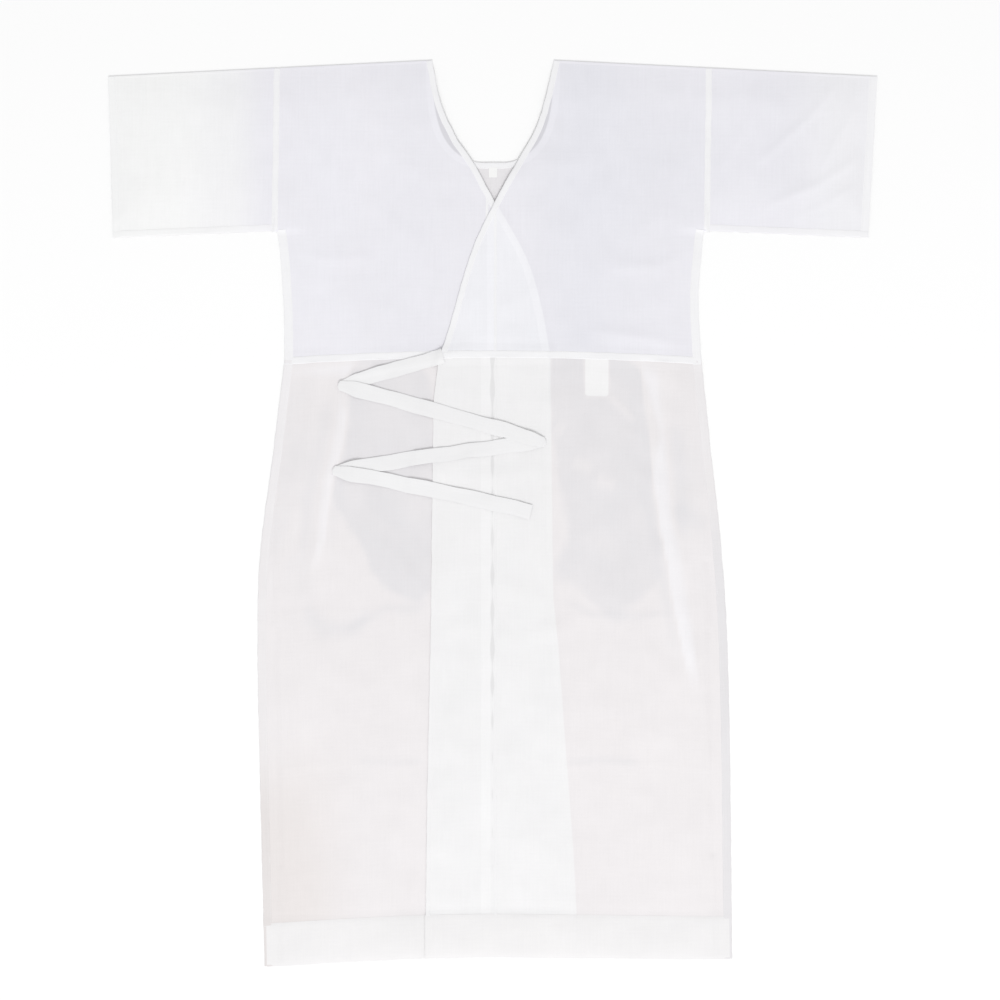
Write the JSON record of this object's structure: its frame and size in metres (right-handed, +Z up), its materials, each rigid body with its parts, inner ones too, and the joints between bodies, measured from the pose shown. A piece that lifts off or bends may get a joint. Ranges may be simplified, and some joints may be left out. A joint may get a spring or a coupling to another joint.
{
  "type": "patient gown",
  "caption": "Wrap-front hospital gown with wide short sleeves, crossed V neck, waist seam, hemmed skirt and a long cloth tie, laid flat with its front up.",
  "frame": {"origin": "middle of the outline of the gown laid flat, on the surface that it lies on", "axes": "+X to the wearer's left, +Y from the hem to the shoulders, +Z up out of the front"},
  "size_m": [1, 1.175, 0.0091],
  "materials": {
    "bodice_gauze": "matte",
    "skirt_cloth": "matte",
    "trim": "matte",
    "tie_tape": "matte",
    "label": "satin"
  },
  "bodies": {
    "gown_body": {"back_bodice": "bodice_gauze", "under_front_bodice": "bodice_gauze", "under_overlap_bodice": "bodice_gauze", "over_front_bodice_side": "bodice_gauze", "shoulder_fold_right": "bodice_gauze", "shoulder_fold_left": "bodice_gauze", "back_skirt": "skirt_cloth", "under_front_skirt": "skirt_cloth", "under_overlap_skirt": "skirt_cloth", "over_front_skirt_side": "skirt_cloth", "back_neck_binding": "trim", "back_waist_seam": "trim", "back_hem": "trim", "armhole_seam_right": "trim", "armhole_seam_left": "trim", "side_seam_bodice_right": "trim", "side_seam_bodice_left": "trim", "side_seam_skirt_right": "trim", "side_seam_skirt_left": "trim", "under_neck_binding": "trim", "under_edge_hem": "trim", "under_overlap_seam_bodice": "trim", "under_overlap_seam_skirt": "trim", "under_waist_seam": "trim", "under_hem": "trim", "over_waist_seam_side": "trim", "over_hem_side": "trim", "care_label": "label", "size_label": "label"},
    "front_flap": {"over_overlap_bodice": "bodice_gauze", "over_overlap_skirt": "skirt_cloth", "over_front_bodice_flap": "bodice_gauze", "over_front_skirt_flap": "skirt_cloth", "over_overlap_seam_bodice": "trim", "over_overlap_seam_skirt": "trim", "over_neck_binding": "trim", "over_edge_hem": "trim", "over_waist_seam_flap": "trim", "over_hem_flap": "trim", "tie_root_patch": "trim"},
    "tie": {"waist_tie": "tie_tape"},
    "sleeve_right": {"sleeve_right_back": "bodice_gauze", "sleeve_right_front": "bodice_gauze", "sleeve_right_top_fold": "bodice_gauze", "sleeve_right_underarm_seam": "trim", "sleeve_right_cuff_hem_front": "trim", "sleeve_right_cuff_hem_back": "trim"},
    "sleeve_left": {"sleeve_left_back": "bodice_gauze", "sleeve_left_front": "bodice_gauze", "sleeve_left_top_fold": "bodice_gauze", "sleeve_left_underarm_seam": "trim", "sleeve_left_cuff_hem_front": "trim", "sleeve_left_cuff_hem_back": "trim"}
  },
  "joints": [
    {"name": "front_open", "type": "hinge", "parent": "gown_body", "child": "front_flap", "pos_m": [0.089, 0.5875, 0.008], "axis": [-0.0856, 0.9963, 0], "range_deg": [0, 180]},
    {"name": "tie_swing", "type": "hinge", "parent": "front_flap", "child": "tie", "pos_m": [-0.062, 0.2045, 0.008], "axis": [0, 0, 1], "range_deg": [-10, 10]},
    {"name": "sleeve_right_fold", "type": "hinge", "parent": "gown_body", "child": "sleeve_right", "pos_m": [-0.28515, 0.47, 0.0043], "axis": [0, 1, 0], "range_deg": [0, 180]},
    {"name": "sleeve_left_fold", "type": "hinge", "parent": "gown_body", "child": "sleeve_left", "pos_m": [0.28515, 0.47, 0.0079], "axis": [0, -1, 0], "range_deg": [0, 180]}
  ]
}
